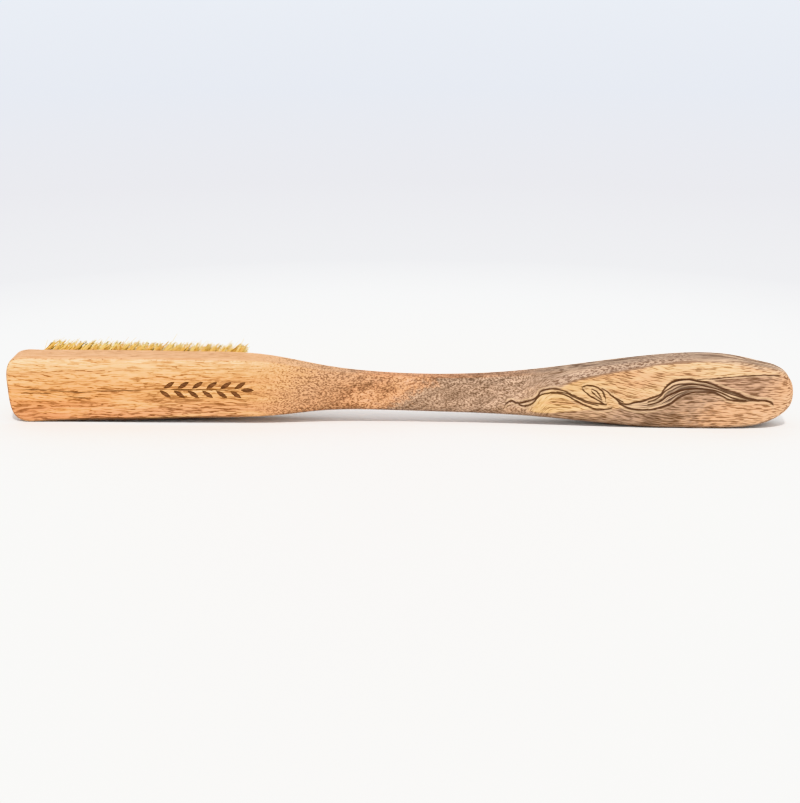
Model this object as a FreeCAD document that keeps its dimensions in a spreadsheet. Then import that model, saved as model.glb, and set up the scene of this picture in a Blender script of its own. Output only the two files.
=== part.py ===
import FreeCAD, Part
import math
import os
import Sketcher
from FreeCAD import Placement, Rotation, Vector

# A long-handled wooden clothes brush, standing on its long edge.
# +X runs from the head to the end of the grip, +Y is the way the bristles point and
# +Z is up.  The origin is under the middle of the brush, on the surface it stands on.

DIMENSIONS = [
    # alias, millimetres (or a plain count or degrees), what it is
    ("overall_length", 330.0, "head end to grip end"),
    ("head_width", 28.3, "edge to edge across the head"),
    ("back_offset", 19.5, "from the XZ plane back to the flat of the head"),
    ("head_thickness", 17.0, "back of the head to the drilled face"),
    ("blank_thickness", 60.0, "plank that the stock is shaped from"),
    ("head_round", 2.2, "round-over of the head's rim"),
    ("neck_round", 3.0, "round-over where the neck begins"),
    ("grip_round", 4.2, "round-over of the grip's rim"),
    ("tuft_pitch", 3.95, "hole to hole along a row"),
    ("field_start", 153.9, "from the YZ plane out to the first hole of the long rows"),
    ("field_height_start", 14.3, "middle row above the surface, at the head end"),
    ("field_height_end", 15.2, "middle row above the surface, at the neck end"),
    ("row_spacing_start", 5.0, "row to row at the head end"),
    ("row_spacing_end", 4.1, "row to row at the neck end"),
    ("long_row_count", 22, "tufts in the first, third and fifth row"),
    ("hole_diameter", 3.05, "drilled tuft hole"),
    ("hole_depth", 7.5, "drilled depth to the shoulder of the drill point"),
    ("drill_angle", 118.0, "drill point"),
    ("tuft_diameter", 3.0, "bundle of bristles"),
    ("tuft_root_depth", 7.2, "fold of the bundle below the drilled face"),
    ("bristle_length", 22.0, "bristles beyond the drilled face"),
    ("staple_width", 3.4, "flat wire across the hole, a little wider than it"),
    ("staple_height", 1.6, "flat wire along the hole"),
    ("staple_thickness", 0.35, "flat wire"),
    ("staple_depth", 6.7, "lower edge of the wire below the drilled face"),
    ("staple_angle", 40.0, "turn of the wire from the grain, so it cannot split the wood"),
    ("sprig_start", 103.0, "from the YZ plane out to the foot of the engraved sprig"),
    ("sprig_length", 43.0, "engraved sprig, foot to tip"),
    ("sprig_height", 15.0, "engraved sprig above the surface"),
    ("sprig_depth", 0.3, "burned engraving"),
    ("leaf_length", 5.6, "one engraved leaf"),
    ("leaf_bulge", 0.95, "rise of each side of a leaf"),
    ("leaf_angle", 32.0, "leaf from the stem"),
    ("leaf_pairs", 6, "pairs of leaves on the sprig"),
]

# The rim, drawn for the nominal length and head width.
# Each station is (x, lower edge, upper edge).
RIM_STATIONS = [
    (-152, 0.2, 28.3), (-109.5, 1.4, 28.4), (-83.5, 2.4, 28.2), (-59.5, 3.2, 27.5),
    (-46.5, 4.2, 25.8), (-32.5, 5.6, 23.5), (-7.5, 5.8, 21.1), (17, 5.2, 20.5),
    (51, 4.2, 22.0), (85, 1.65, 26.0), (107.5, 0.2, 28.7), (126.5, 0.0, 29.9), (141.5, 0.3, 28.9),
]
GRIP_END = [
    (152.7, 26.5), (159.1, 24.7), (163.3, 21.4), (165.0, 15.4), (163.7, 9.6), (159.4, 5.4), (152.6, 2.1),
]
HEAD_END = [(-158.0, 0.35), (-161.4, 2.1), (-163.4, 5.6), (-164.4, 11.0), (-165.0, 17.5),
            (-164.7, 23.2), (-162.6, 26.9), (-158.4, 28.35)]
NOMINAL_LENGTH = 330.0
NOMINAL_WIDTH = 28.3

# The two faces seen from above, as (x, rise from the head's flat), beyond the flat head.
# The rim's round-over changes at ROUND_STATIONS, which are points of both curves.
BACK_CURVE = [(-60, 0), (-35, 1.2), (0, 2.4), (35, 2.2), (75, 0.8), (120, 0.0), (175, 0.6)]
FRONT_CURVE = [(-60, 0), (-35, -1.1), (0, -2.4), (35, -1.8), (75, 0.8), (120, 2.0), (175, 0.5)]
ROUND_STATIONS = [-60, -35, 75]
BLANK_END = 175
ROW_COUNT = 5

doc = FreeCAD.newDocument("clothes_brush")
sheet = doc.addObject("Spreadsheet::Sheet", "sheet")
for line, (alias, size, meaning) in enumerate(DIMENSIONS, start=1):
    sheet.set(f"A{line}", meaning)
    sheet.set(f"B{line}", str(size))
    sheet.setAlias(f"B{line}", alias)
doc.recompute()


def size_of(alias):
    """A driving dimension, read from the sheet."""
    return float(sheet.get(alias))


def bind(feature, **expressions):
    """Ties properties of a feature to cells of the sheet."""
    for prop, expression in expressions.items():
        feature.setExpression(prop, expression)


def new_sketch(body, name, plane_role, offset=None):
    """An empty sketch on one of the body's own origin planes."""
    sketch = body.newObject("Sketcher::SketchObject", name)
    planes = {feature.Role: feature for feature in body.Origin.OriginFeatures}
    sketch.AttachmentSupport = [(planes[plane_role], "")]
    sketch.MapMode = "FlatFace"
    if offset is not None:
        sketch.AttachmentOffset = offset
    return sketch


def checked_cut(feature, was_wood):
    """Recomputes and makes sure that the feature took away the wood at each point."""
    doc.recompute()
    if not feature.BaseFeature.Shape.isInside(was_wood[-1], 0.001, False):
        raise RuntimeError(f"{feature.Name} has no wood at {was_wood[-1]} to cut")
    for place in was_wood:
        if feature.Shape.isInside(place, 0.001, True):
            raise RuntimeError(f"{feature.Name} left wood at {place}")


def spline(points, **ends):
    curve = Part.BSplineCurve()
    curve.interpolate(Points=points, **ends)
    return curve


# ---------------------------------------------------------------- the wooden stock

def rim_curve():
    """One smooth closed curve round the brush, seen from its back."""
    along = size_of("overall_length") / NOMINAL_LENGTH
    across = size_of("head_width") / NOMINAL_WIDTH
    upper = [(x, top) for x, low, top in RIM_STATIONS]
    lower = [(x, low) for x, low, top in reversed(RIM_STATIONS)]
    places = upper + GRIP_END + lower + HEAD_END
    return spline([Vector(x * along, z * across, 0) for x, z in places], PeriodicFlag=True)


def face_spans(face_curve, plane):
    """The smooth line of one face, cut where the rim's round-over changes."""
    along = size_of("overall_length") / NOMINAL_LENGTH
    level = Vector(1, 0, 0)
    points = {x: Vector(x * along, plane + rise, 0) for x, rise in face_curve}
    whole = spline(list(points.values()), InitialTangent=level, FinalTangent=level, Scale=False)
    cuts = [whole.parameter(points[x]) for x in ROUND_STATIONS] + [whole.LastParameter]
    spans = []
    for start, end in zip(cuts, cuts[1:]):
        span = whole.copy()
        span.segment(start, end)
        spans.append(span)
    return spans


def add_waste(sketch, face_curve, plane, outside):
    """The closed area of plank beyond one face of the stock, in the side view."""
    along = size_of("overall_length") / NOMINAL_LENGTH
    spans = face_spans(face_curve, plane)
    far_end, near_end = BLANK_END * along, -BLANK_END * along
    corners = [spans[-1].EndPoint, Vector(far_end, outside, 0), Vector(near_end, outside, 0),
               Vector(near_end, plane, 0), spans[0].StartPoint]
    for span in spans:
        sketch.addGeometry(span)
    for start, end in zip(corners, corners[1:]):
        sketch.addGeometry(Part.LineSegment(start, end))


def round_at(x):
    """The rim's round-over at a place along the brush."""
    sizes = [size_of("head_round"), size_of("neck_round"), size_of("grip_round")]
    along = size_of("overall_length") / NOMINAL_LENGTH
    passed = [size for station, size in zip(ROUND_STATIONS, sizes) if x > (station - 1) * along]
    return passed[-1] if passed else sizes[0]


def rim_rounding(shape):
    """(edge, radius at its start, radius at its end) for the edges round both faces."""
    rounded = []
    for number, edge in enumerate(shape.Edges, start=1):
        box = edge.BoundBox
        across_face = box.XLength < 0.01
        across_rim = box.YLength > 0.5 * size_of("head_thickness")
        if across_face or across_rim:
            continue
        start = edge.valueAt(edge.FirstParameter)
        end = edge.valueAt(edge.LastParameter)
        rounded.append((number, round_at(start.x), round_at(end.x)))
    return rounded


def row_line(row):
    """Start and direction of a row; the rows close up towards the neck."""
    step = row - (ROW_COUNT - 1) / 2
    start_x = -size_of("field_start")
    run = size_of("tuft_pitch") * (size_of("long_row_count") - 1)
    start_z = size_of("field_height_start") + step * size_of("row_spacing_start")
    end_z = size_of("field_height_end") + step * size_of("row_spacing_end")
    direction = Vector(run, 0, end_z - start_z).normalize()
    start = Vector(start_x, size_of("head_thickness") - size_of("back_offset"), start_z)
    if row % 2 == 1:
        start = start + direction * (size_of("tuft_pitch") / 2)
    return start, direction


def row_size(row):
    """Every second row sits between its neighbours and is one tuft shorter."""
    return int(size_of("long_row_count")) - row % 2


def drill_row(body, row):
    """One row of blind tuft holes: a drilled hole and its pattern along the row."""
    start, direction = row_line(row)
    tilt = math.degrees(math.atan2(direction.z, direction.x))
    offset = Placement(Vector(start.x, start.z, -start.y), Rotation(Vector(0, 0, 1), tilt))
    sketch = new_sketch(body, f"row_{row + 1}_sketch", "XZ_Plane", offset)
    sketch.addGeometry(Part.Circle(Vector(0, 0, 0), Vector(0, 0, 1), 1.0))
    sketch.addConstraint(Sketcher.Constraint("Coincident", 0, 3, -1, 1))
    size = sketch.addConstraint(Sketcher.Constraint("Diameter", 0, 2.0))
    sketch.setExpression(f"Constraints[{size}]", "sheet.hole_diameter")
    doc.recompute()
    hole = body.newObject("PartDesign::Hole", f"row_{row + 1}_hole")
    hole.Profile = sketch
    hole.ThreadType = 0
    hole.DepthType = 0
    hole.DrillPoint = 1
    hole.Reversed = True
    bind(hole, Diameter="sheet.hole_diameter", Depth="sheet.hole_depth",
         DrillPointAngle="sheet.drill_angle")
    depth = Vector(0, size_of("hole_depth") / 2, 0)
    checked_cut(hole, [start - depth])
    pattern = body.newObject("PartDesign::LinearPattern", f"row_{row + 1}_holes")
    pattern.Originals = [hole]
    pattern.Direction = (sketch, ["H_Axis"])
    pattern.Occurrences = row_size(row)
    bind(pattern, Length=f"sheet.tuft_pitch * {row_size(row) - 1}")
    body.Tip = pattern
    pitch = direction * size_of("tuft_pitch")
    checked_cut(pattern, [start - depth + pitch * number for number in range(row_size(row))])


def add_leaf(sketch, foot, angle):
    """A leaf drawn as two arcs that meet at its foot and its tip."""
    length, bulge = size_of("leaf_length"), size_of("leaf_bulge")
    along = Vector(math.cos(angle), math.sin(angle), 0)
    aside = Vector(-math.sin(angle), math.cos(angle), 0)
    middle = foot + along * (length / 2)
    tip = foot + along * length
    for side in (1, -1):
        sketch.addGeometry(Part.Arc(foot, middle + aside * (side * bulge), tip))


def engrave_sprig(body):
    """A plain sprig burned into the back of the head: a stem and pairs of leaves."""
    offset = Placement(Vector(-size_of("sprig_start"), size_of("sprig_height"),
                              size_of("back_offset")), Rotation())
    sketch = new_sketch(body, "sprig_sketch", "XZ_Plane", offset)
    length, pairs = size_of("sprig_length"), int(size_of("leaf_pairs"))
    stem_end = length - size_of("leaf_length") - 0.6
    half_stem, foot_gap = 0.25, 0.45
    foot, end = Vector(0, 0, 0), Vector(stem_end, 0, 0)
    for side in (1, -1):
        sketch.addGeometry(Part.Arc(foot, Vector(stem_end / 2, side * half_stem, 0), end))
    first, last = 4.0, stem_end - 3.0
    angle = math.radians(size_of("leaf_angle"))
    for pair in range(pairs):
        x = first + (last - first) * pair / (pairs - 1)
        for side in (1, -1):
            add_leaf(sketch, Vector(x + side * 0.9, side * foot_gap, 0), side * angle)
    add_leaf(sketch, Vector(stem_end + 0.6, 0, 0), 0.0)
    pocket = body.newObject("PartDesign::Pocket", "sprig_engraving")
    pocket.Profile = sketch
    bind(pocket, Length="sheet.sprig_depth")
    stem_middle = Vector(stem_end / 2 - size_of("sprig_start"),
                         size_of("sprig_depth") / 2 - size_of("back_offset"),
                         size_of("sprig_height"))
    checked_cut(pocket, [stem_middle])


def shape_blank():
    """The stock's outline cut from a plank, and its back and front faces shaped."""
    blank = doc.addObject("PartDesign::Body", "blank")
    rim = new_sketch(blank, "rim_sketch", "XZ_Plane")
    rim.addGeometry(rim_curve())
    plank = blank.newObject("PartDesign::Pad", "plank")
    plank.Profile = rim
    plank.Midplane = True
    bind(plank, Length="sheet.blank_thickness")
    doc.recompute()

    above = Placement(Vector(0, 0, 2 * size_of("head_width")), Rotation())
    faces = new_sketch(blank, "faces_sketch", "XY_Plane", above)
    back = -size_of("back_offset")
    front = back + size_of("head_thickness")
    outside = size_of("blank_thickness") / 2 + 5
    add_waste(faces, BACK_CURVE, back, -outside)
    add_waste(faces, FRONT_CURVE, front, outside)
    shaping = blank.newObject("PartDesign::Pocket", "shaping")
    shaping.Profile = faces
    shaping.Type = 1
    checked_cut(shaping, [Vector(0, front + 5, size_of("head_width") / 2)])
    return blank


def make_stock():
    """The one-piece wooden body: head, neck and grip, rounded, drilled and engraved."""
    blank = shape_blank()
    rounded = doc.addObject("Part::Fillet", "rounded_blank")
    rounded.Base = blank
    rounded.Edges = rim_rounding(blank.Shape)
    doc.recompute()
    if rounded.Shape.isNull() or not rounded.Shape.isValid():
        raise RuntimeError("the rim could not be rounded")

    body = doc.addObject("PartDesign::Body", "wooden_stock")
    body.Label = "wooden_stock"
    body.BaseFeature = rounded
    doc.recompute()
    for row in range(ROW_COUNT):
        drill_row(body, row)
    engrave_sprig(body)
    body.Placement = Placement()
    return body


# ---------------------------------------------------------------- tufts and staples

TOWARDS_TIPS = Rotation(Vector(1, 0, 0), -90)


def make_staple(name, face_point):
    """The flat wire that holds one tuft, lying across the bottom of its hole."""
    wire = doc.addObject("Part::Box", name)
    bind(wire, Length="sheet.staple_width", Width="sheet.staple_thickness",
         Height="sheet.staple_height")
    turn = TOWARDS_TIPS.multiply(Rotation(Vector(0, 0, 1), size_of("staple_angle")))
    corner = Vector(-size_of("staple_width") / 2, -size_of("staple_thickness") / 2, 0)
    base = face_point - Vector(0, size_of("staple_depth"), 0)
    wire.Placement = Placement(base + turn.multVec(corner), turn)
    return wire


def make_tuft(name, face_point, wire):
    """One bundle of bristles, folded round its staple."""
    bundle = doc.addObject("Part::Cylinder", f"{name}_bundle")
    bind(bundle, Radius="sheet.tuft_diameter / 2",
         Height="sheet.tuft_root_depth + sheet.bristle_length")
    base = face_point - Vector(0, size_of("tuft_root_depth"), 0)
    bundle.Placement = Placement(base, TOWARDS_TIPS)
    tuft = doc.addObject("Part::Cut", name)
    tuft.Base = bundle
    tuft.Tool = wire
    return tuft


def make_rank(rank):
    """The tufts and staples that share a place along their rows."""
    tufts, wires = [], []
    for row in range(ROW_COUNT):
        if rank >= row_size(row):
            continue
        start, direction = row_line(row)
        face_point = start + direction * (rank * size_of("tuft_pitch"))
        place = f"{rank + 1:02d}_{row + 1}"
        wire = make_staple(f"wire_{place}", face_point)
        tufts.append(make_tuft(f"tuft_{place}", face_point, wire))
        wires.append(wire)
    groups = []
    for label, members in (("bristle_tufts", tufts), ("staples", wires)):
        group = doc.addObject("Part::Compound", f"{label}_{rank + 1:02d}")
        group.Label = f"{label}_{rank + 1:02d}"
        group.Links = members
        group.Placement = Placement()
        groups.append(group)
    return groups


stock = make_stock()
nodes = [stock]
for rank in range(int(size_of("long_row_count"))):
    nodes += make_rank(rank)
doc.recompute()

# ---------------------------------------------------------------- checks and export

for thing in doc.Objects:
    if "Invalid" in thing.State or "Error" in thing.State:
        raise RuntimeError(f"{thing.Label} did not build: {thing.State}")
for node in nodes:
    if node.Shape.isNull() or not node.Shape.isValid():
        raise RuntimeError(f"{node.Label} has no valid shape")

os.makedirs("parts", exist_ok=True)
for node in nodes:
    node.Shape.exportStep(f"parts/{node.Label}.step")
box = stock.Shape.BoundBox
print("stock from", [round(v, 2) for v in (box.XMin, box.YMin, box.ZMin)])
print("stock to", [round(v, 2) for v in (box.XMax, box.YMax, box.ZMax)])
print(f"{len(nodes)} nodes, stock volume {stock.Shape.Volume / 1000:.1f} cm3")
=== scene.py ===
import math
import random

import bpy
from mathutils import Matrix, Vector


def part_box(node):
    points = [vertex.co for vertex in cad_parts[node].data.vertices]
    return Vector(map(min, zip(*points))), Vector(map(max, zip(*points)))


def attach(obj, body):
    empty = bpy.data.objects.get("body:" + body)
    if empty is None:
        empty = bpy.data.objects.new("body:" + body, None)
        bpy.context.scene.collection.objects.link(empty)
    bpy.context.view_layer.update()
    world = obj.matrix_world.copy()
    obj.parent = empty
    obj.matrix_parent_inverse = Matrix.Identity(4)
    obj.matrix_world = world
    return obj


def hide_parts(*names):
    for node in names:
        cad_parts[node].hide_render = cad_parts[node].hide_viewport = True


# A long-handled wooden clothes brush standing on its long edge, seen from its back.
# Sizes in this file are millimetres, turned into Blender's metres by MM.

MM = 0.001
# From the back of the head to the face that holds the bristles.
HEAD_DEPTH = 17.0

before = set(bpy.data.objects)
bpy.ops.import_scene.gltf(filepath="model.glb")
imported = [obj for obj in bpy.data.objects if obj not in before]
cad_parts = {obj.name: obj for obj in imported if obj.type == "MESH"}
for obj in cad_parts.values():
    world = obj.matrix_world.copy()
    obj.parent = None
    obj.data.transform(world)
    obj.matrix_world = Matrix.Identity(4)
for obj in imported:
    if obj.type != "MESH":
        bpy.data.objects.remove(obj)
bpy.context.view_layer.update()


def corners(node):
    """Lowest and highest corner of a CAD node, in millimetres."""
    low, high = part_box(node)
    return low / MM, high / MM


STOCK_LOW, STOCK_HIGH = corners("wooden_stock")
BACK = STOCK_LOW.y
HEAD_FRONT = BACK + HEAD_DEPTH
TIPS = corners("bristle_tufts_01")[1].y


# ---------------------------------------------------------------- colours

# How much brighter than itself a surface of the brush looks in this studio's light.
BACK_GAIN = 1.88
UPPER_GAIN = 1.60
# The view squeezes the tones above this one together.
VIEW_SHOULDER = 0.76
# What the view takes off a tone, less the shine that the wood's gloss adds to it.
VIEW_LOSS = 0.004


def linear(value):
    """A 0-255 screen value as the linear value that shaders use."""
    value /= 255
    return value / 12.92 if value <= 0.04045 else ((value + 0.055) / 1.055) ** 2.4


def colour(red, green, blue):
    """A colour given as 0-255 screen values, in linear values."""
    return (linear(red), linear(green), linear(blue), 1.0)


def seen(red, green, blue, gain=BACK_GAIN):
    """The surface colour that looks like these 0-255 screen values in the studio's light."""
    values = [linear(red), linear(green), linear(blue)]
    peak = max(values)
    if peak > VIEW_SHOULDER:
        room = 1 - VIEW_SHOULDER
        unsqueezed = VIEW_SHOULDER - room + room ** 2 / (1 - peak)
        values = [value * unsqueezed / peak for value in values]
    return tuple((value + VIEW_LOSS) / gain for value in values) + (1.0,)


def seen_above(red, green, blue):
    """The same for a surface that faces up."""
    return seen(red, green, blue, UPPER_GAIN)


# ---------------------------------------------------------------- shader building

class Shader:
    """One material's node tree, with a short method for each kind of node."""

    # The height that the curves of profile are drawn in; it lies above all their points.
    CURVE_TOP = 32.0

    def __init__(self, name):
        self.material = bpy.data.materials.new(name)
        self.material.use_nodes = True
        self.tree = self.material.node_tree
        self.surface = self.tree.nodes["Principled BSDF"]
        metres = self.add("ShaderNodeTexCoord", {}, "Object")
        self.place = self.add("ShaderNodeVectorMath", {0: metres, 1: (1 / MM,) * 3},
                              operation="MULTIPLY")
        self.x, self.y, self.z = [self.part(self.place, axis) for axis in "XYZ"]

    def add(self, kind, inputs, output=0, **settings):
        """A new node; inputs are numbers, tuples or links, and one output comes back."""
        node = self.tree.nodes.new(kind)
        for name, value in settings.items():
            setattr(node, name, value)
        for name, value in inputs.items():
            self.set(node.inputs[name], value)
        return node.outputs[output]

    def set(self, socket, value):
        """Link a socket to another one, or give it a fixed value."""
        if isinstance(value, bpy.types.NodeSocket):
            self.tree.links.new(value, socket)
        else:
            socket.default_value = value

    def bump(self, height, strength, distance):
        """Small relief on the surface, as deep as distance."""
        inputs = {"Height": height, "Strength": strength, "Distance": distance * MM}
        self.set(self.surface.inputs["Normal"], self.add("ShaderNodeBump", inputs))

    def finish(self, **sockets):
        """Set the surface's sockets, with _ for a space in a name, and return the material."""
        for name, value in sockets.items():
            self.set(self.surface.inputs[name.replace("_", " ")], value)
        return self.material

    # Numbers.

    def math(self, operation, *values):
        """The result of one step of arithmetic."""
        return self.add("ShaderNodeMath", dict(enumerate(values)), operation=operation)

    def joined(self, operation, values):
        """One number out of several, by the same operation again and again."""
        result = values[0]
        for value in values[1:]:
            result = self.math(operation, result, value)
        return result

    def plus(self, *values):
        return self.joined("ADD", values)

    def times(self, *values):
        return self.joined("MULTIPLY", values)

    def highest(self, *values):
        return self.joined("MAXIMUM", values)

    def minus(self, first, second):
        return self.math("SUBTRACT", first, second)

    def opposite(self, value):
        return self.minus(1.0, value)

    def rise(self, value, low, high):
        """0 at low, 1 at high, smooth between them and level beyond; low may be the larger."""
        inputs = {"Value": value, "From Min": low, "From Max": high}
        return self.add("ShaderNodeMapRange", inputs, interpolation_type="SMOOTHSTEP")

    def window(self, value, low, high, soft):
        """1 between low and high, fading to 0 over soft inside each end."""
        return self.times(self.rise(value, low, low + soft),
                          self.opposite(self.rise(value, high - soft, high)))

    def share(self, value, low, high):
        """How far value has come from low to high, 0 to 1."""
        return self.add("ShaderNodeMapRange", {"Value": value, "From Min": low, "From Max": high})

    def spread(self, share, first, second):
        """A number that goes from first to second as share goes from 0 to 1."""
        return self.add("ShaderNodeMapRange", {"Value": share, "To Min": first, "To Max": second})

    # Places.

    def point(self, x, y, z):
        return self.add("ShaderNodeCombineXYZ", {"X": x, "Y": y, "Z": z})

    def part(self, vector, axis):
        """One of the three numbers of a vector."""
        return self.add("ShaderNodeSeparateXYZ", {0: vector}, axis)

    def profile(self, x, points):
        """The height of a smooth curve through the points (x, z), at each x."""
        low, high = points[0][0], points[-1][0]
        node = self.tree.nodes.new("ShaderNodeFloatCurve")
        self.set(node.inputs["Value"], self.share(x, low, high))
        places = [((x_point - low) / (high - low), z / self.CURVE_TOP) for x_point, z in points]
        curve = node.mapping.curves[0]
        for place in places[1:-1]:
            curve.points.new(*place)
        curve.points[0].location = places[0]
        curve.points[-1].location = places[-1]
        node.mapping.update()
        return self.times(node.outputs[0], self.CURVE_TOP)

    def between(self, z, lower, upper, soft=0.5):
        """1 where z lies between two heights, with soft edges."""
        above = self.rise(self.minus(z, lower), -soft, soft)
        below = self.rise(self.minus(upper, z), -soft, soft)
        return self.times(above, below)

    def vein(self, x, z, points, width, fade=0.8):
        """A thin line along a curve, and the pale flanks beside it, both fading at their ends; the flanks
        are partly the wood's own colour and partly painted highlight on the line's edges.
        """
        step = 0.4
        here = self.profile(x, points)
        ahead = self.profile(self.plus(x, step), points)
        slope = self.times(self.minus(ahead, here), 1 / step)
        lean = self.math("SQRT", self.plus(self.times(slope, slope), 1.0))
        away = self.math("DIVIDE", self.math("ABSOLUTE", self.minus(z, here)), lean)
        # The line is full up to 0.3 widths away, and its flanks lie 0.9 to 2.4 widths away.
        line = self.opposite(self.rise(away, 0.3 * width, width))
        flank = self.window(away, 0.9 * width, 2.4 * width, 0.5 * width)
        reach = self.window(x, points[0][0], points[-1][0], fade)
        return self.times(line, reach), self.times(flank, reach)

    # Noise.

    def noise(self, place, grain, detail=2.0, roughness=0.5, seed=0.0):
        """Noise round 0.5 whose patches are as long as grain says along X, Y and Z."""
        stretched = self.add("ShaderNodeVectorMath", {0: place, 1: grain}, operation="DIVIDE")
        inputs = {"Vector": stretched, "W": seed, "Scale": 1.0, "Detail": detail,
                  "Roughness": roughness}
        return self.add("ShaderNodeTexNoise", inputs, "Fac", noise_dimensions="4D")

    def swing(self, place, grain, amount, seed=0.0):
        """Noise round zero, as far as amount each way."""
        wobble = self.noise(place, grain, seed=seed)
        return self.times(self.plus(wobble, -0.5), 2 * amount)

    def marks(self, low, high, place, grain, **settings):
        """Noise made sharper: 0 where it is below low, 1 where it is above high."""
        return self.rise(self.noise(place, grain, **settings), low, high)

    # Colours.

    def mix(self, share, first, second, blend="MIX"):
        """The first colour, gone over to the second as far as share says."""
        # Inputs 6 and 7 and output 2 are the node's sockets for colours.
        inputs = {"Factor": share, 6: first, 7: second}
        return self.add("ShaderNodeMix", inputs, 2, data_type="RGBA", blend_type=blend)

    def tinted(self, base, tint):
        """The base colour multiplied by a tint."""
        return self.mix(1.0, base, tint, blend="MULTIPLY")

    def stained(self, base, stain, *shares):
        """The base colour, gone over to the stain as far as the product of the shares."""
        return self.mix(self.times(*shares), base, stain)

    def ramp(self, value, low, high, stops):
        """A colour that changes as value goes from low to high; stops are (value, colour)."""
        node = self.tree.nodes.new("ShaderNodeValToRGB")
        self.set(node.inputs[0], self.share(value, low, high))
        elements = node.color_ramp.elements
        while len(elements) < len(stops):
            elements.new(1.0)
        for element, (place, shade) in zip(elements, stops):
            element.position = (place - low) / (high - low)
            element.color = shade
        return node.outputs[0]


# ---------------------------------------------------------------- the wood

# In this section along is the place along X, with the head at the left, and height is the
# place above the ground. Numbers beside them are places in millimetres.

# A little more than the reach of the brush along X.
SPAN = (-170, 170)
# How far along the wood the neck's zones move for each millimetre up from this height.
ZONE_SLANT = 1.87
ZONE_HEIGHT = 13
# How far down the wood's layers move for each millimetre in from the back.
LAYER_LEAN = 0.16
# The direction of the flames of the neck, along and up.
FLAME_DIRECTION = (0.9, 0.44)
# Where the engraved sprig lies on the back of the head, and how far below the back.
SPRIG_ALONG = (-105, -58)
SPRIG_HEIGHT = (5, 25)
SPRIG_DEPTH = (0.04, 2.0)

# The natural figure of the grip, as curves (x, z) on the back of the brush.
BAND_FOOT = [(54, 15), (60, 15.8), (66, 17.6), (76, 20.8), (84, 22.8), (92.5, 24.4), (101, 26),
             (109, 27.6), (121, 28.8), (134, 29), (144, 28.8), (152, 27.2), (165, 24)]
PATCH_TOP = [(50, 9.6), (54, 9.8), (57, 11.4), (60, 14), (63, 16), (68, 17), (72, 19.5), (78, 22)]
PATCH_FOOT = [(50, 8.6), (56, 6.9), (62, 6.5), (68, 7), (76, 7.8), (82, 8.4), (90, 8.6)]
GOLD_FOOT = [(66, 8.2), (78, 8.8), (92, 8.8), (99.5, 11.0), (103.3, 12.5), (107, 13.9), (109.8, 15.2),
             (111.4, 17.8), (113.8, 20.1), (117.5, 21.5), (122, 21.6), (127, 20.8),
             (131, 21.9), (135, 22.4), (144.2, 23.2), (153.3, 23.7), (165, 23.4)]
WAVE_TOP = [(91.6, 12.8), (94.6, 10.7), (99.5, 11.6), (103.3, 12.5), (107, 13.9), (109.8, 15.2),
            (111.4, 17.8), (113.8, 20.1), (117.5, 21.5), (120.4, 21.7), (124.9, 20.9), (129.5, 20.1),
            (134.9, 18), (140.8, 15.9), (146.2, 13.8), (150, 13), (153.7, 12.6), (156.9, 10.8)]
WAVE_FOOT = [(91.6, 11.4), (94.5, 9.8), (97.5, 8.8), (101.3, 8.2), (108.7, 9.2), (113.3, 10.9),
             (116.9, 13.5), (121.8, 15.7), (125.9, 16.2), (131.7, 15.8), (135.1, 14.6), (138.8, 12.9),
             (144.6, 12.5), (148.3, 12.8), (153.7, 12.5), (156.9, 10.8)]
# The grain of the grip runs along this curve and its parallels.
GRAIN_FLOW = [(40, 10), (70, 9.6), (84, 8.2), (100, 4.8), (112, 2.6), (128, 2), (170, 2)]
# The dark veins of the grip, each a width and its points; all are drawn VEIN_WIDENING times as wide.
VEIN_WIDENING = 1.15
VEINS = [
    (0.50, [(44.7, 9.3), (47.6, 11.5), (50.5, 10.7), (55.1, 11.6), (58.4, 13.3), (60.4, 15.9),
            (64.1, 16.8), (68.3, 16.4), (72.9, 14.4), (79.2, 11.8), (85, 10.6), (88, 10.4)]),
    (0.50, [(50.5, 10.2), (53.4, 9.4), (55.9, 10.3), (60, 14), (64.2, 15.1), (69.6, 14.3), (74.2, 12.2),
            (79.2, 9.7), (83.4, 8.4), (90.1, 9)]),
    (0.34, [(66, 15.6), (70.5, 14.9), (75, 12.9), (80, 10.9), (84.4, 9.8)]),
    (0.46, [(76.6, 17.6), (77.6, 18.2), (80, 18.5), (82.2, 18.1), (84, 17.2), (85.6, 15.7), (86.6, 13.8),
            (87.1, 12.2), (87.4, 10.4)]),
    (0.46, [(76.6, 17.5), (77.6, 16.3), (79.5, 14.9), (82, 13.3), (84.7, 11.6), (86.4, 10.6), (87.4, 10.2)]),
    (0.38, [(80.6, 17.2), (82.6, 16.3), (84.2, 14.8), (85.3, 13), (85.8, 12)]),
    (0.38, [(80.6, 16.8), (82.4, 14.9), (84.2, 13.2), (85.8, 12)]),
    (0.36, [(84.5, 17.4), (87, 16.2), (89.3, 14.4), (91.6, 12.9), (94.6, 11.4)]),
    (0.44, [(89.3, 14.8), (91.6, 12.4), (93.8, 10.3), (97.1, 9.1), (101.3, 8.4), (105.4, 8.8)]),
    (0.60, WAVE_TOP),
    (0.45, [(104, 11.6), (107.8, 13), (112.2, 16.9), (115.9, 19.1), (121.7, 19.6), (127.9, 18.8),
            (134, 17.2), (141, 14.8), (147, 13.4)]),
    (0.50, [(104, 10.4), (108.7, 11.7), (112.3, 14.3), (116.8, 16.5), (122.2, 17.4), (129.6, 17.1),
            (135, 15.9), (140.9, 13.4), (146, 12.9)]),
    (0.50, WAVE_FOOT),
    (0.32, [(124, 21.4), (131, 22), (138, 22.7), (145, 23.3), (152, 23.7), (159, 23.4)]),
]
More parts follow.
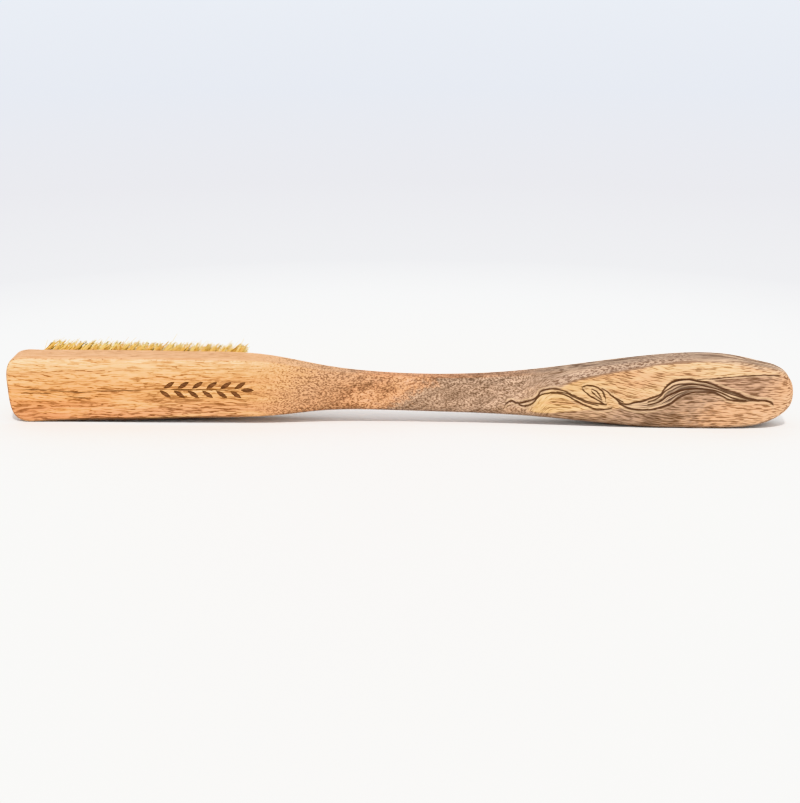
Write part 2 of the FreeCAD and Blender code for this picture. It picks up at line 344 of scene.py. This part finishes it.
# Two thin cracks along the head, which fade out over a longer stretch than the veins.
CRACK_FADE = 7
CRACKS = [
    (0.52, [(-163, 14.1), (-150.5, 14.3), (-142, 13.9), (-133.5, 13.4), (-125, 14.1), (-116.6, 14.3),
            (-104.5, 14.3)]),
    (0.38, [(-163, 12.6), (-150.6, 12.9), (-142.1, 12.1), (-135.8, 11.3), (-127, 10.6)]),
]


def streaked(wood, base, streak, pale, dark):
    """The base colour with pale and dark streaks; each kind is (colour, low, high, share)."""
    for stain, low, high, share in (pale, dark):
        base = wood.stained(base, stain, wood.rise(streak, low, high), share)
    return base


def neck_colour(wood, along, height):
    """The ground of the neck and the grip, in zones that cross the wood on a slant."""
    slant = wood.plus(along, wood.times(wood.minus(height, ZONE_HEIGHT), -ZONE_SLANT),
                      wood.swing(wood.place, (14, 12, 6), 20, seed=4),
                      wood.swing(wood.place, (2, 3, 1.4), 18, seed=24))
    return wood.ramp(slant, *SPAN, [
        (-70, seen(232, 177, 121)), (-44, seen(208, 157, 115)), (-24, seen(194, 141, 99)),
        (-17, seen(186, 131, 90)), (-10, seen(233, 174, 124)), (-3, seen(212, 158, 117)),
        (8, seen(170, 137, 110)), (24, seen(177, 143, 116)), (48, seen(190, 156, 129)),
        (64, seen(190, 152, 120)), (92, seen(184, 146, 112)), (112, seen(167, 133, 107)),
        (130, seen(179, 141, 111)), (150, seen(220, 169, 126)), (165, seen(233, 185, 142)),
    ])


def head_colour(wood, along, height):
    """The ground of the head: yellower high up, with a pale strip near the top that is partly painted
    highlight, redder at the low left, in broad streaks.
    """
    # The pale stops at 24 and 26.5 mm high are partly the wood's own colour and partly painted highlight on
    # the upper rounding.
    ground = wood.ramp(height, 0, 30, [
        (0, seen(229, 167, 120)), (6, seen(235, 171, 118)), (12, seen(240, 178, 112)),
        (20, seen(246, 188, 123)), (24, seen(247, 200, 140)), (26.5, seen(250, 210, 154)),
        (30, seen(240, 190, 142)),
    ])
    streak = wood.noise(wood.place, (34, 5, 3.4), detail=2.5, seed=5)
    ground = streaked(wood, ground, streak, (seen(248, 196, 132), 0.5, 0.64, 0.7),
                      (seen(224, 158, 103), 0.5, 0.34, 0.45))
    redder = wood.tinted(ground, (0.98, 0.87, 0.76, 1))
    return wood.stained(ground, redder, wood.rise(along, -90, -150), wood.rise(height, 21, 9))


def gold_zone(wood, along, height):
    """Share and colour of the gold wood of the grip: a small patch and the zone under the band."""
    patch = wood.between(height, wood.profile(along, PATCH_FOOT), wood.profile(along, PATCH_TOP))
    patch = wood.times(patch, wood.window(along, 53, 88, 6))
    gold = wood.between(height, wood.profile(along, GOLD_FOOT), wood.profile(along, BAND_FOOT))
    gold = wood.times(gold, wood.rise(along, 66, 80))
    shade = wood.ramp(along, 50, 170, [
        (50, seen(232, 189, 124)), (84, seen(223, 176, 124)), (100, seen(215, 166, 122)),
        (130, seen(238, 196, 148)), (165, seen(237, 195, 150)),
    ])
    streak = wood.noise(wood.place, (16, 3, 2), seed=7)
    shade = streaked(wood, shade, streak, (seen(243, 204, 150), 0.42, 0.66, 0.6),
                     (seen(208, 156, 110), 0.5, 0.34, 0.6))
    return wood.highest(patch, gold), shade


def side_colour(wood, along):
    """The tone of the rim's long sides, with fine streaks along them."""
    ground = wood.ramp(along, *SPAN, [
        (-165, seen_above(236, 184, 137)), (-60, seen_above(238, 186, 138)),
        (-42, seen_above(222, 174, 130)), (-20, seen_above(204, 157, 119)),
        (-6, seen_above(208, 150, 108)), (24, seen_above(190, 138, 102)),
        (44, seen_above(174, 132, 102)), (60, seen_above(160, 126, 100)),
        (100, seen_above(160, 128, 103)), (150, seen_above(194, 162, 133)),
        (165, seen_above(206, 162, 124)),
    ])
    streak = wood.marks(0.36, 0.60, wood.place, (20, 1.0, 1.0), detail=3, roughness=0.6, seed=15)
    return wood.tinted(ground, wood.mix(streak, (0.80, 0.74, 0.68, 1), (1.08, 1.1, 1.12, 1)))


def wood_ground(wood, along, height, top_side):
    """The wood's own colour before its grain, its band, its wave and its veins."""
    past_head = wood.rise(along, -72, -36)
    ground = wood.stained(neck_colour(wood, along, height), head_colour(wood, along, height),
                          wood.opposite(past_head))
    gold, gold_colour = gold_zone(wood, along, height)
    ground = wood.stained(ground, gold_colour, gold)

    # The wood is pink between the wave and the gold, and darker low down under the wave.
    pink = wood.between(height, wood.profile(along, WAVE_TOP), wood.profile(along, GOLD_FOOT))
    ground = wood.stained(ground, seen(187, 146, 116), pink, wood.window(along, 126, 162, 12), 0.9)
    ground = wood.stained(ground, seen(136, 102, 74), wood.window(along, 98, 124, 10),
                          wood.opposite(wood.rise(height, 5, 10.5)), 0.45)
    ground = wood.stained(ground, seen(104, 74, 52), wood.window(along, 103, 110, 3),
                          wood.opposite(wood.rise(height, 6, 10)), 0.5)
    return wood.stained(ground, side_colour(wood, along), top_side, 0.9)


def upper_band(wood, along, height):
    """Share and colour of the grey-brown band along the top of the grip."""
    above = wood.minus(height, wood.profile(along, BAND_FOOT))
    share = wood.times(wood.rise(above, -0.2, 0.5), wood.rise(along, 50, 72))
    place = wood.point(wood.x, wood.y, above)

    # Dark and light streaks, paler towards the end of the grip.
    streak = wood.marks(0.40, 0.58, place, (22, 1.6, 0.75), detail=3, roughness=0.6, seed=6)
    shade = wood.mix(streak, seen(122, 90, 66), seen(210, 177, 149))
    paler = wood.tinted(shade, (1.36, 1.38, 1.36, 1))
    shade = wood.stained(shade, paler, wood.rise(along, 122, 146))

    # Specks along its foot, and a thin dark line on its lower edge.
    speck = wood.marks(0.43, 0.56, place, (1.5, 0.9, 0.55), detail=3, roughness=0.62, seed=16)
    speck_colour = wood.mix(speck, seen(130, 94, 71), seen(228, 194, 165))
    shade = wood.stained(shade, speck_colour, wood.window(above, -0.4, 4.4, 1.2),
                         wood.window(along, 40, 130, 16), 0.8)
    line = wood.times(wood.window(above, -0.5, 0.6, 0.35), wood.window(along, 64, 132, 10))
    shade = wood.stained(shade, seen(142, 100, 70), line, 0.8)
    return wood.highest(share, wood.times(line, 0.75)), shade


def wave_figure(wood, along, height):
    """Share and colour of the dark wave, whose streaks follow its edges, and its quiet heart."""
    foot = wood.profile(along, WAVE_FOOT)
    top = wood.profile(along, WAVE_TOP)
    share = wood.times(wood.between(height, foot, top, soft=0.3), wood.window(along, 90, 152, 5))
    across = wood.math("DIVIDE", wood.minus(height, foot), wood.plus(wood.minus(top, foot), 0.3))
    place = wood.point(wood.x, wood.y, wood.times(across, 6.5))
    dark = wood.marks(0.555, 0.455, place, (18, 4, 0.62), seed=8)
    shade = wood.mix(dark, seen(238, 198, 160), seen(76, 47, 30))
    heart = wood.times(wood.window(along, 107, 138, 8), wood.opposite(wood.rise(across, 0.6, 0.9)))
    shade = wood.stained(shade, seen(134, 106, 88), heart, 0.30)
    # A pale strip in the upper part of the wave's left end: partly the wood's own colour, partly painted
    # highlight.
    shade = wood.stained(shade, seen(228, 184, 142), wood.window(along, 102, 115, 4),
                         wood.window(across, 0.60, 0.95, 0.12), 0.8)
    return share, shade, heart


def head_grain(wood, along, place):
    """How light the grain of the head is: dashes all over, broken contour lines, bold strokes."""
    busy = wood.window(along, -116, -40, 22)
    dash = wood.marks(wood.spread(busy, 0.42, 0.46), wood.spread(busy, 0.51, 0.54),
                      place, (6.5, 1, 0.42), seed=9)
    contour = wood.noise(place, (11, 1, 1.2), detail=1.5, seed=26)
    away = wood.math("ABSOLUTE", wood.minus(contour, 0.5))
    line = wood.times(wood.opposite(wood.rise(away, 0.010, 0.040)),
                      wood.marks(0.44, 0.58, place, (4, 1, 1.2), seed=27), 0.8)
    bold = wood.marks(wood.spread(busy, 0.575, 0.55), wood.spread(busy, 0.61, 0.59),
                      place, (5.0, 1, 0.38), detail=1.5, seed=23)
    return wood.times(wood.spread(dash, 0.25, 1.0), wood.opposite(wood.highest(line, bold)))


def fine_grain(wood, along):
    """How light the grain is, 0 to 1, and how far it is the head's kind of grain."""
    head = wood.opposite(wood.rise(along, -70, -46))
    grip = wood.rise(along, 52, 66)
    wavy = wood.plus(wood.z, wood.swing(wood.place, (22, 10, 6), 1.9, seed=17))
    flow = wood.minus(wood.z, wood.profile(along, GRAIN_FLOW))
    place = wood.point(wood.x, wood.y, wood.spread(grip, wavy, flow))
    on_neck = wood.marks(0.42, 0.575, place, (0.95, 0.9, 0.40), detail=3, roughness=0.66, seed=10)
    on_grip = wood.marks(0.41, 0.57, place, (4.2, 0.9, 0.35), detail=1, seed=19)
    beyond_head = wood.spread(grip, on_neck, on_grip)
    return wood.spread(head, beyond_head, head_grain(wood, along, place)), head


def flame_tint(wood, along):
    """A tint with pale and dark flames that rise to the right across the neck."""
    forward, upward = FLAME_DIRECTION
    with_flames = wood.plus(wood.times(wood.x, forward), wood.times(wood.z, upward))
    across_flames = wood.plus(wood.times(wood.x, -upward), wood.times(wood.z, forward))
    place = wood.point(with_flames, wood.y, across_flames)
    flame = wood.swing(place, (11, 6, 2.2), 3.0, seed=25)
    flame = wood.math("MAXIMUM", wood.math("MINIMUM", flame, 1.0), -1.0)
    flame = wood.times(flame, wood.window(along, -44, 84, 34), 0.5)
    return wood.mix(wood.plus(flame, 0.5), (0.74, 0.71, 0.68, 1), (1.34, 1.37, 1.41, 1))


def layers(wood):
    """Along and height, by layers that lean on their way through the wood and are never even."""
    depth = wood.minus(wood.y, BACK)
    lean = wood.times(depth, LAYER_LEAN)
    bend = wood.times(wood.swing(wood.place, (26, 9, 12), 0.30, seed=1), depth)
    ripple = wood.swing(wood.place, (4.5, 5, 3), 0.30, seed=2)
    along = wood.plus(wood.x, wood.swing(wood.place, (6, 6, 4), 0.7, seed=3))
    return along, wood.plus(wood.z, lean, bend, ripple)


def grained(wood, surface, along, top_side):
    """The surface with flames and with fine grain, which is weaker on the long sides."""
    light, head = fine_grain(wood, along)
    dark_tint = wood.mix(head, (0.46, 0.39, 0.33, 1), (0.35, 0.26, 0.19, 1))
    light_tint = wood.mix(head, (1.44, 1.48, 1.50, 1), (1.21, 1.24, 1.24, 1))
    strongest = wood.tinted(surface, wood.mix(light, dark_tint, light_tint))
    weaker = wood.times(top_side, wood.spread(head, 0.25, 0.55))
    surface = wood.stained(surface, strongest, wood.opposite(weaker))
    return wood.tinted(surface, flame_tint(wood, along)), light


def figured(wood, surface, along, height, up):
    """The surface with its band and wave, and dark dots on the upper edge of head and neck."""
    band, band_colour = upper_band(wood, along, height)
    surface = wood.stained(surface, band_colour, band)
    wave, wave_colour, heart = wave_figure(wood, along, height)
    surface = wood.stained(surface, wave_colour, wave)
    dots = wood.marks(0.56, 0.62, wood.place, (1.1, 1.0, 1.0), detail=1.5, seed=22)
    surface = wood.stained(surface, seen(140, 94, 60), dots, wood.window(up, 0.45, 0.85, 0.12),
                           wood.opposite(wood.rise(along, -20, 20)), 0.7)
    return surface, heart


def lined(wood, surface, along, height, heart):
    """The surface with its cracks, and its veins with pale flanks, partly painted highlight, that are weak
    in the wave's heart.
    """
    lines, _ = zip(*[wood.vein(along, height, points, width, CRACK_FADE)
                     for width, points in CRACKS])
    gaps = wood.spread(wood.noise(wood.place, (6, 3, 1.2), seed=28), 0.05, 1.45)
    crack = wood.times(wood.highest(*lines), gaps)
    surface = wood.stained(surface, seen(112, 68, 34), wood.math("MINIMUM", crack, 0.9))

    lines, flanks = zip(*[wood.vein(along, height, points, VEIN_WIDENING * width)
                          for width, points in VEINS])
    # The pale flanks beside the veins are partly the wood's own colour and partly painted highlight along
    # the edges of the veins.
    surface = wood.stained(surface, seen(240, 204, 160), wood.highest(*flanks),
                           wood.opposite(wood.times(heart, 0.8)), 0.45)
    uneven = wood.spread(wood.noise(wood.place, (3, 3, 2), seed=12), 0.7, 1.25)
    ink = wood.times(wood.highest(*lines), uneven)
    return wood.stained(surface, seen(84, 48, 22), wood.math("MINIMUM", ink, 0.96)), ink


def painted_edge_shade(wood, surface, along, up, outward):
    """The surface with painted shade underneath, on the rounding that faces down and most under the head,
    and on the end face where the head ends.
    """
    low_head = wood.window(along, -165, -52, 46)
    # Painted shade: the rounding that faces down is darkened, at 0.4 along the whole wood and up to 0.9
    # under the head.
    under = wood.rise(up, wood.spread(low_head, -0.55, -0.18), wood.spread(low_head, -0.92, -0.66))
    surface = wood.stained(surface, seen(80, 50, 32), under, wood.spread(low_head, 0.4, 0.9))
    # Painted shade on the end face where the head ends, where the normal points out along -X.
    return wood.stained(surface, seen(146, 108, 78), wood.rise(outward, -0.45, -0.95), 0.7)


def burned(wood, surface):
    """The surface, charred on the floor of the sprig, which lies just under the flat back."""
    char = wood.marks(0.34, 0.66, wood.place, (3, 0.6, 0.35), detail=3, seed=13)
    char_colour = wood.mix(char, seen(92, 52, 26), seen(152, 98, 58))
    shallow, deep = SPRIG_DEPTH
    return wood.stained(surface, char_colour,
                        wood.window(wood.y, BACK + shallow, BACK + deep, 0.06),
                        wood.window(wood.x, *SPRIG_ALONG, 1.0),
                        wood.window(wood.z, *SPRIG_HEIGHT, 1.0))


def wood_material():
    """Oiled hardwood with its own grain, colour zones and dark natural veins."""
    wood = Shader("oiled_wood")
    normal = wood.add("ShaderNodeNewGeometry", {}, "Normal")
    up = wood.part(normal, "Z")
    along, height = layers(wood)

    # The tone of the long sides is kept narrower on the rounder edges of the neck and the grip.
    slim = wood.window(along, -78, 74, 20)
    top_side = wood.rise(wood.math("ABSOLUTE", up), wood.spread(slim, 0.60, 0.82),
                         wood.spread(slim, 0.76, 0.96))

    surface = wood_ground(wood, along, height, top_side)
    surface, light = grained(wood, surface, along, top_side)
    surface, heart = figured(wood, surface, along, height, up)
    surface, ink = lined(wood, surface, along, height, heart)
    surface = painted_edge_shade(wood, surface, along, up, wood.part(normal, "X"))
    surface = burned(wood, surface)

    # Dark grain and veins lie a little lower than the rest, and dark grain is duller.
    wood.bump(wood.minus(light, wood.times(ink, 0.6)), 0.45, 0.10)
    gloss = wood.spread(wood.noise(wood.place, (9, 3, 2), seed=14), 0.46, 0.62)
    rough = wood.plus(gloss, wood.times(wood.opposite(light), 0.15))
    return wood.finish(Base_Color=surface, Roughness=rough, Specular_IOR_Level=0.30)


# ---------------------------------------------------------------- bristles

BRISTLES_PER_TUFT = 200
BRISTLE_SIDES = 3
# How far along its free length each ring of a bristle lies.
FREE_RINGS = (0.0, 0.3, 0.55, 0.8, 1.0)
# The radius of a bristle at its root, between these two; at its tip it is half of that.
ROOT_RADIUS = (0.11, 0.16)
# How far from the middle of its hole a bristle stands at most.
HOLE_REACH = 1.30

# The bristles of a tuft come together in locks, which spread round the tuft's middle
# this far along the head and across it, and are combed over towards the grip.
LOCKS_PER_TUFT = 30
TIP_SIDE = 2.1
TIP_SPREAD = 3.1
COMB = 2.6
# Each lock stands this share of the width further along than the one before, which spreads them.
GOLDEN_SHARE = 0.618
# How much shorter than its tuft a lock is at most, and a bristle than its lock.
LOCK_SHORTER = 0.7
BRISTLE_SHORTER = 0.3

# Most bristles end close to the tip of their lock; a few stray further.
NEAT = 0.30
STRAY = 1.6
STRAY_SHARE = 0.05
# The lowest that a tip may be, and the highest, which is a little above the stock.
LOWEST_TIP = 0.35
HIGHEST_TIP = STOCK_HIGH.z + 0.65

# How far a bristle's shade strays from that of its lock. A few are dark, and thicker.
SHADE_STRAY = 0.26
DARK_SHARE = 0.015
DARK_THICKER = 1.5


def bristle_material():
    """Straw-coloured bristle, with painted shade towards the root, paler to the tip, each with its own
    shade; a few are dark.
    """
    straw = Shader("straw_bristle")
    shade = straw.add("ShaderNodeAttribute", {}, "Fac", attribute_name="shade")
    reach = straw.add("ShaderNodeAttribute", {}, "Fac", attribute_name="reach")
    tint = straw.ramp(shade, 0, 1, [
        (0.0, colour(40, 32, 24)), (0.025, colour(56, 44, 30)), (0.035, colour(208, 158, 74)),
        (0.35, colour(238, 198, 108)), (0.7, colour(248, 220, 132)), (1.0, colour(254, 240, 168)),
    ])
    # Painted shade: each bristle darkens towards its root, deep in the tuft where shade falls.
    darker = straw.tinted(tint, colour(244, 224, 196))
    tint = straw.stained(tint, darker, straw.opposite(straw.rise(reach, 0.5, 0.95)))
    tint = straw.stained(tint, colour(250, 222, 136), straw.rise(reach, 0.86, 1.0),
                         straw.rise(shade, 0.03, 0.3), 0.35)
    fibre = straw.noise(straw.place, (0.3, 2.5, 0.3), seed=21)
    tint = straw.stained(tint, colour(160, 112, 44), fibre, 0.12)
    straw.bump(fibre, 0.15, 0.02)
    return straw.finish(Base_Color=tint, Roughness=0.45, Specular_IOR_Level=0.4)


def separate_solids(mesh):
    """The vertices of each separate solid of a mesh, in millimetres."""
    parent = list(range(len(mesh.vertices)))

    def top(index):
        while parent[index] != index:
            parent[index] = parent[parent[index]]
            index = parent[index]
        return index

    # Vertices at the same place to the micrometre belong to the same solid, and so do
    # the two ends of an edge.
    same_place = {}
    for vertex in mesh.vertices:
        key = tuple(round(value * 1e6) for value in vertex.co)
        first = same_place.setdefault(key, vertex.index)
        parent[top(vertex.index)] = top(first)
    for edge in mesh.edges:
        parent[top(edge.vertices[0])] = top(edge.vertices[1])
    solids = {}
    for vertex in mesh.vertices:
        solids.setdefault(top(vertex.index), []).append(vertex.co / MM)
    return solids.values()


def tuft_centres(node):
    """Where the tufts of a CAD node stand: the middle of the inner end of each of its solids."""
    centres = []
    for points in separate_solids(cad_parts[node].data):
        low = Vector(min(point[axis] for point in points) for axis in range(3))
        high = Vector(max(point[axis] for point in points) for axis in range(3))
        centres.append(((low.x + high.x) / 2, low.y, (low.z + high.z) / 2))
    return sorted(centres)


def sideways(angle, distance):
    """A step of this length square to the hole, at this angle round it."""
    return Vector((math.cos(angle), 0, math.sin(angle))) * distance


def lock_tips(centre, draw):
    """Where the locks of a tuft come together at their tips, each with its own shade."""
    locks = []
    for lock in range(LOCKS_PER_TUFT):
        aside = 2 * ((lock * GOLDEN_SHARE) % 1) - 1
        upward = 2 * (lock + 0.5) / LOCKS_PER_TUFT - 1
        tip = Vector((centre[0] + TIP_SIDE * aside + COMB * draw.uniform(0.6, 1.4),
                      TIPS - LOCK_SHORTER * draw.random() ** 2,
                      centre[2] + TIP_SPREAD * upward + draw.uniform(-0.3, 0.3)))
        locks.append((tip, draw.uniform(0.1, 0.9)))
    return locks


def bristle_line(root, tip):
    """The middle line of a bristle: straight in its hole, then bending more and more to its tip."""
    mouth = Vector((root.x, HEAD_FRONT, root.z))
    free = tip - mouth
    middles = [root]
    for reach in FREE_RINGS:
        bend = reach ** 1.5
        middles.append(mouth + Vector((free.x * bend, free.y * reach, free.z * bend)))
    return middles


def add_tube(mesh, middles, root_radius, shade):
    """A thin closed tube along a line, tapering to half of its radius."""
    rings = []
    for number, middle in enumerate(middles):
        reach = number / (len(middles) - 1)
        radius = root_radius * (1.0 - 0.5 * reach ** 2)
        rings.append([])
        for corner in range(BRISTLE_SIDES):
            rings[-1].append(len(mesh["places"]))
            place = middle + sideways(2 * math.pi * corner / BRISTLE_SIDES, radius)
            mesh["places"].append(place * MM)
            mesh["shade"].append(shade)
            mesh["reach"].append(reach)
    for lower, upper in zip(rings, rings[1:]):
        for corner in range(BRISTLE_SIDES):
            after = (corner + 1) % BRISTLE_SIDES
            mesh["faces"].append((lower[corner], upper[corner], upper[after], lower[after]))
    mesh["faces"].append(tuple(rings[0]))
    mesh["faces"].append(tuple(reversed(rings[-1])))


def add_bristle(mesh, centre, locks, draw):
    """One bristle, from a random place in its hole to the tip of one of the locks."""
    angle = draw.uniform(0, 2 * math.pi)
    root = Vector(centre) + sideways(angle, math.sqrt(draw.random()) * HOLE_REACH)
    tip, shade = draw.choice(locks)
    loose = STRAY if draw.random() < STRAY_SHARE else NEAT
    tip = tip + Vector((draw.gauss(0, loose), -BRISTLE_SHORTER * draw.random(),
                        draw.gauss(0, loose)))
    tip.z = min(max(tip.z, LOWEST_TIP), HIGHEST_TIP)
    shade = min(max(shade + draw.gauss(0, SHADE_STRAY), 0.05), 1.0)
    radius = draw.uniform(*ROOT_RADIUS)
    if draw.random() < DARK_SHARE:
        shade = 0.0
        radius *= DARK_THICKER
    add_tube(mesh, bristle_line(root, tip), radius, shade)


def make_tufts(node, material, draw):
    """The real bristles of a node's tufts, in place of its plain CAD cylinders."""
    mesh = {"places": [], "faces": [], "shade": [], "reach": []}
    for centre in tuft_centres(node):
        locks = lock_tips(centre, draw)
        for _ in range(BRISTLES_PER_TUFT):
            add_bristle(mesh, centre, locks, draw)
    data = bpy.data.meshes.new(node + "_bristles")
    data.from_pydata(mesh["places"], [], mesh["faces"])
    for name in ("shade", "reach"):
        attribute = data.attributes.new(name, "FLOAT", "POINT")
        attribute.data.foreach_set("value", mesh[name])
    for face in data.polygons:
        face.use_smooth = len(face.vertices) == 4
    data.materials.append(material)
    piece = bpy.data.objects.new(node + "_bristles", data)
    bpy.context.scene.collection.objects.link(piece)
    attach(piece, "root")
    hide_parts(node)


# ---------------------------------------------------------------- staples

def staple_material():
    """Flat steel wire with fine drawing lines."""
    steel = Shader("drawn_steel_wire")
    lines = steel.noise(steel.place, (2.5, 0.08, 0.08), seed=31)
    shade = steel.mix(lines, colour(150, 148, 144), colour(205, 203, 198))
    steel.bump(lines, 0.1, 0.01)
    rough = steel.spread(lines, 0.25, 0.45)
    return steel.finish(Base_Color=shade, Roughness=rough, Metallic=1.0)


# ---------------------------------------------------------------- studio

# Half the width of the floor.
FLOOR_HALF = 12000
# In front of the brush the floor's painted falloff of light changes at this share of its rate behind it.
FRONT_SHARE = 0.25

# The surroundings are this bright in front of the brush and behind it.
FRONT_LEVEL = 1.72
BEHIND_LEVEL = 0.68

# Where the camera looks, from which angles in degrees, from how far away and with which lens.
TARGET = Vector((0.78, -10, 8.5))
ELEVATION = 14.0
AZIMUTH = 2.45
DISTANCE = 905.0
LENS = 95.94


def make_floor():
    """A wide pale floor with painted falloff of light: brightest round the brush, cooler and a little darker
    far away.
    """
    half = FLOOR_HALF * MM
    data = bpy.data.meshes.new("floor")
    data.from_pydata([(-half, -half, 0), (half, -half, 0), (half, half, 0), (-half, half, 0)],
                     [], [(0, 1, 2, 3)])
    floor = bpy.data.objects.new("floor", data)
    bpy.context.scene.collection.objects.link(floor)
    paper = Shader("studio_paper")
    depth = paper.highest(paper.y, paper.times(paper.y, -FRONT_SHARE))
    flat = paper.point(paper.x, depth, 0.0)
    away = paper.add("ShaderNodeVectorMath", {0: flat}, "Value", operation="LENGTH")
    # Painted falloff of light: the floor's colour is brightest round the brush and darker and cooler further
    # away.
    shade = paper.ramp(away, 0, 4000, [
        (0, colour(250, 247, 245)), (120, colour(248, 247, 245)), (240, colour(235, 235, 235)),
        (376, colour(198, 198, 200)), (700, colour(190, 190, 194)), (1400, colour(192, 195, 202)),
        (4000, colour(210, 214, 221)),
    ])
    data.materials.append(paper.finish(Base_Color=shade, Roughness=0.9, Specular_IOR_Level=0.0))


def make_surroundings():
    """A pale surround that is brightest in front of the brush."""
    world = bpy.data.worlds.new("studio")
    world.use_nodes = True
    tree = world.node_tree
    place = tree.nodes.new("ShaderNodeTexCoord")
    split = tree.nodes.new("ShaderNodeSeparateXYZ")
    level = tree.nodes.new("ShaderNodeMapRange")
    background = tree.nodes["Background"]
    limits = {"From Min": -1.0, "From Max": 1.0, "To Min": FRONT_LEVEL, "To Max": BEHIND_LEVEL}
    for name, value in limits.items():
        level.inputs[name].default_value = value
    tree.links.new(place.outputs["Generated"], split.inputs[0])
    tree.links.new(split.outputs["Y"], level.inputs["Value"])
    tree.links.new(level.outputs["Result"], background.inputs["Strength"])
    background.inputs["Color"].default_value = (0.97, 0.985, 1.0, 1)
    bpy.context.scene.world = world


def make_key_light():
    """A sun high up, in front of the brush and a little to its right."""
    sun = bpy.data.lights.new("key", "SUN")
    sun.energy = 2.8
    sun.angle = math.radians(4)
    sun.color = (1.0, 0.985, 0.96)
    lamp = bpy.data.objects.new("key", sun)
    lamp.rotation_euler = (math.radians(37), 0, math.radians(6))
    bpy.context.scene.collection.objects.link(lamp)


def make_camera():
    """The camera stands a little to the right of the brush and looks down on it."""
    elevation = math.radians(ELEVATION)
    azimuth = math.radians(AZIMUTH)
    back = Vector((math.sin(azimuth) * math.cos(elevation),
                   -math.cos(azimuth) * math.cos(elevation), math.sin(elevation)))
    data = bpy.data.cameras.new("camera")
    data.lens = LENS
    data.sensor_width = 36
    data.clip_start = 10 * MM
    data.clip_end = 100
    camera = bpy.data.objects.new("camera", data)
    camera.location = (TARGET + back * DISTANCE) * MM
    camera.rotation_euler = (-back).to_track_quat("-Z", "Y").to_euler()
    bpy.context.scene.collection.objects.link(camera)
    bpy.context.scene.camera = camera


# ---------------------------------------------------------------- everything together

def dress(node, material):
    """Give a CAD node its material."""
    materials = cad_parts[node].data.materials
    materials.clear()
    materials.append(material)


bpy.context.scene.view_settings.view_transform = "Khronos PBR Neutral"
make_camera()
make_surroundings()
make_key_light()
make_floor()

dress("wooden_stock", wood_material())
straw = bristle_material()
steel = staple_material()
draw = random.Random(7)
for name in sorted(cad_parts):
    if name.startswith("bristle_tufts"):
        make_tufts(name, straw, draw)
    if name.startswith("staples"):
        dress(name, steel)
